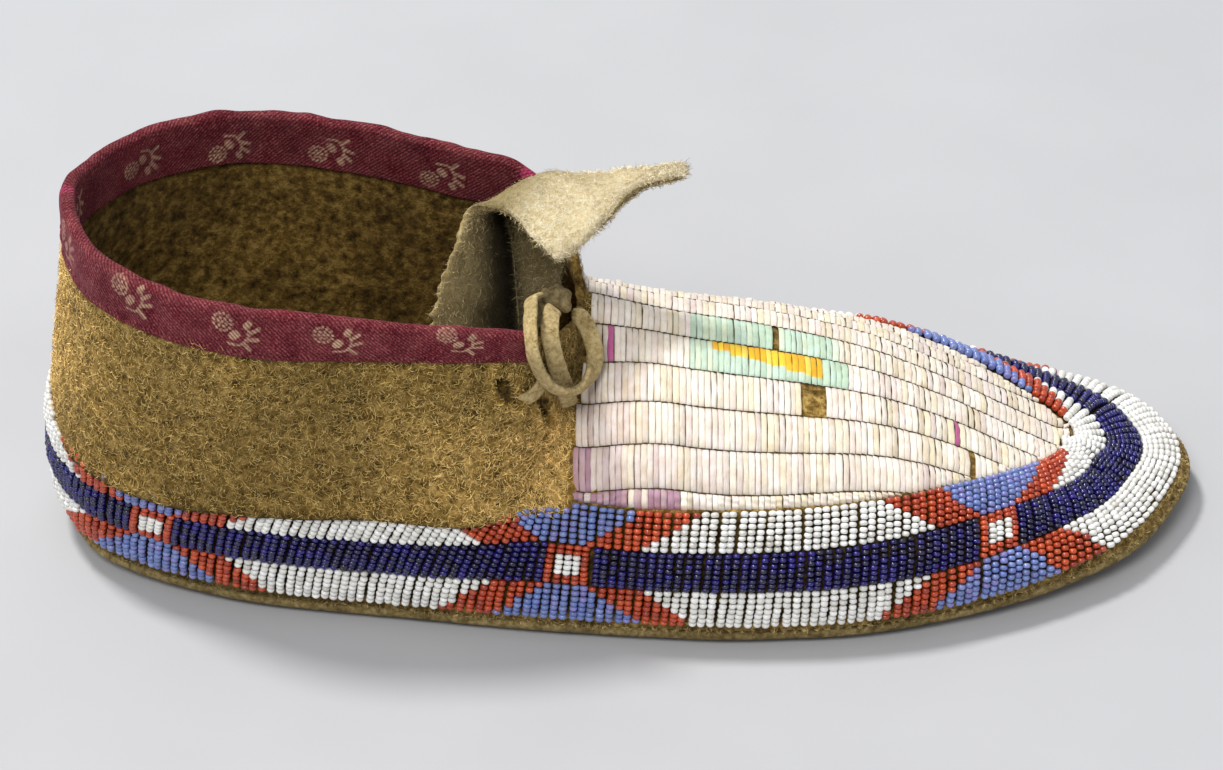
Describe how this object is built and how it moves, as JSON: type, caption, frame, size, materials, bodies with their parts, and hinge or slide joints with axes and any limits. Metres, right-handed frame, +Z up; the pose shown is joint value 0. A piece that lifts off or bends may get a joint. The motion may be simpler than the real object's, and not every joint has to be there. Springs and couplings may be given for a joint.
{
  "type": "moccasin",
  "caption": "Right-foot hard-sole moccasin with a beaded border, a quilled instep, cloth-bound ankle edges, a folded tongue and a leather lace.",
  "frame": {"origin": "centre of the whole shoe's bounding box, on the ground under the sole", "axes": "+X towards the toe, +Y towards the inner side of the right foot, +Z up"},
  "size_m": [0.2666, 0.099, 0.0924],
  "materials": {
    "rawhide": "hard, dull rawhide",
    "smoked_suede": "heavy smoked suede nap",
    "pale_suede": "pale suede, brushed",
    "lace_suede": "worn suede thong",
    "sinew": "twisted sinew thread",
    "calico": "faded printed cotton",
    "quills": "flattened quill, waxy",
    "white_beads": "opaque white glass beads",
    "navy_beads": "deep blue glass beads",
    "motif_beads": "opaque brick red, light blue and white glass beads"
  },
  "bodies": {
    "root": {"rawhide_sole": "rawhide", "leather_upper": "smoked_suede", "sole_seam_sinew": "sinew", "heel_seam_sinew": "sinew", "outer_cuff_binding": "calico", "inner_cuff_binding": "calico", "lace_loop": "lace_suede", "lace_tail": "lace_suede", "lace_knot": "lace_suede", "lace_strand": "lace_suede", "lower_lane_motif_1": "motif_beads", "lower_lane_field_1": "white_beads", "lower_lane_motif_2": "motif_beads", "lower_lane_field_2": "white_beads", "lower_lane_motif_3": "motif_beads", "lower_lane_field_3": "white_beads", "lower_lane_motif_4": "motif_beads", "lower_lane_field_4": "white_beads", "lower_lane_motif_5": "motif_beads", "lower_lane_field_5": "white_beads", "lower_lane_motif_6": "motif_beads", "lower_lane_field_6": "white_beads", "middle_lane_motif_1": "motif_beads", "middle_lane_field_1": "navy_beads", "middle_lane_motif_2": "motif_beads", "middle_lane_field_2": "navy_beads", "middle_lane_motif_3": "motif_beads", "middle_lane_field_3": "navy_beads", "middle_lane_motif_4": "motif_beads", "middle_lane_field_4": "navy_beads", "middle_lane_motif_5": "motif_beads", "middle_lane_field_5": "navy_beads", "middle_lane_motif_6": "motif_beads", "middle_lane_field_6": "navy_beads", "upper_lane_motif_1": "motif_beads", "upper_lane_field_1": "white_beads", "upper_lane_motif_2": "motif_beads", "upper_lane_field_2": "white_beads", "upper_lane_motif_3": "motif_beads", "upper_lane_field_3": "white_beads", "upper_lane_motif_4": "motif_beads", "upper_lane_field_4": "white_beads", "upper_lane_motif_5": "motif_beads", "upper_lane_field_5": "white_beads", "upper_lane_motif_6": "motif_beads", "upper_lane_field_6": "white_beads", "quill_lane_1": "quills", "quill_lane_2": "quills", "quill_lane_3": "quills", "quill_lane_4": "quills", "quill_lane_5": "quills", "quill_lane_6": "quills", "quill_lane_7": "quills", "quill_lane_8": "quills", "quill_lane_9": "quills", "quill_lane_10": "quills"},
    "tongue": {"tongue": "pale_suede"}
  },
  "joints": [
    {"name": "tongue_fold", "type": "hinge", "parent": "root", "child": "tongue", "pos_m": [-0.01387, 0.00049, 0.0565], "axis": [0, 1, 0], "range_deg": [-40, 30]}
  ]
}
